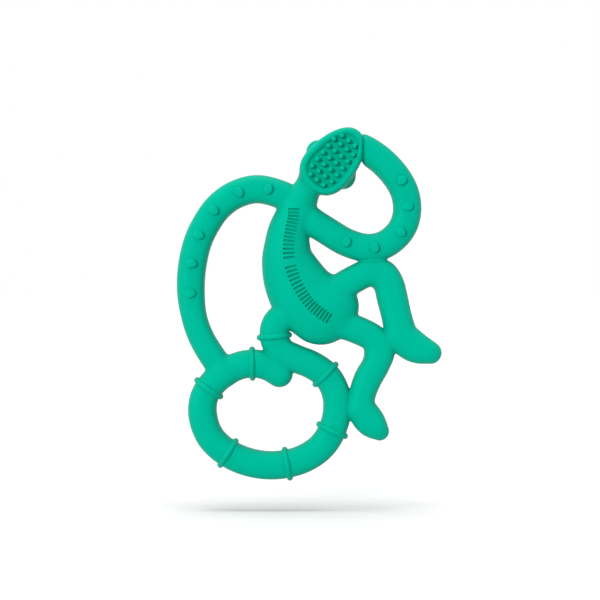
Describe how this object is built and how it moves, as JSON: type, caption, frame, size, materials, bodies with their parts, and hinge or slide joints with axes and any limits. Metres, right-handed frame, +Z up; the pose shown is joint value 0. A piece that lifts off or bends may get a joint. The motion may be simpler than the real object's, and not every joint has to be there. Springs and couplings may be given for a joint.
{
  "type": "teething ring",
  "caption": "One-piece silicone teether shaped as a seated monkey, with a ridged ring at the tail, studded arms and a bristled head.",
  "frame": {"origin": "centre of the opening of the tail ring, in the plane of the mould's parting line", "axes": "+Z up the standing figure, from the tail ring to the head; -Y is the side with the bristles; +X towards the figure's raised knee and feet"},
  "size_m": [0.0846, 0.0144, 0.1131],
  "materials": {
    "silicone": "satin"
  },
  "bodies": {
    "root": {"torso": "silicone", "head": "silicone", "brush_pad": "silicone", "bristles": "silicone", "ears": "silicone", "face_relief": "silicone", "left_arm": "silicone", "left_arm_studs": "silicone", "right_arm": "silicone", "right_arm_studs": "silicone", "right_hand": "silicone", "right_leg": "silicone", "right_foot": "silicone", "left_leg": "silicone", "left_foot": "silicone", "tail_root": "silicone", "tail_ring": "silicone", "tail_tip": "silicone", "tail_ridges": "silicone"}
  },
  "joints": []
}
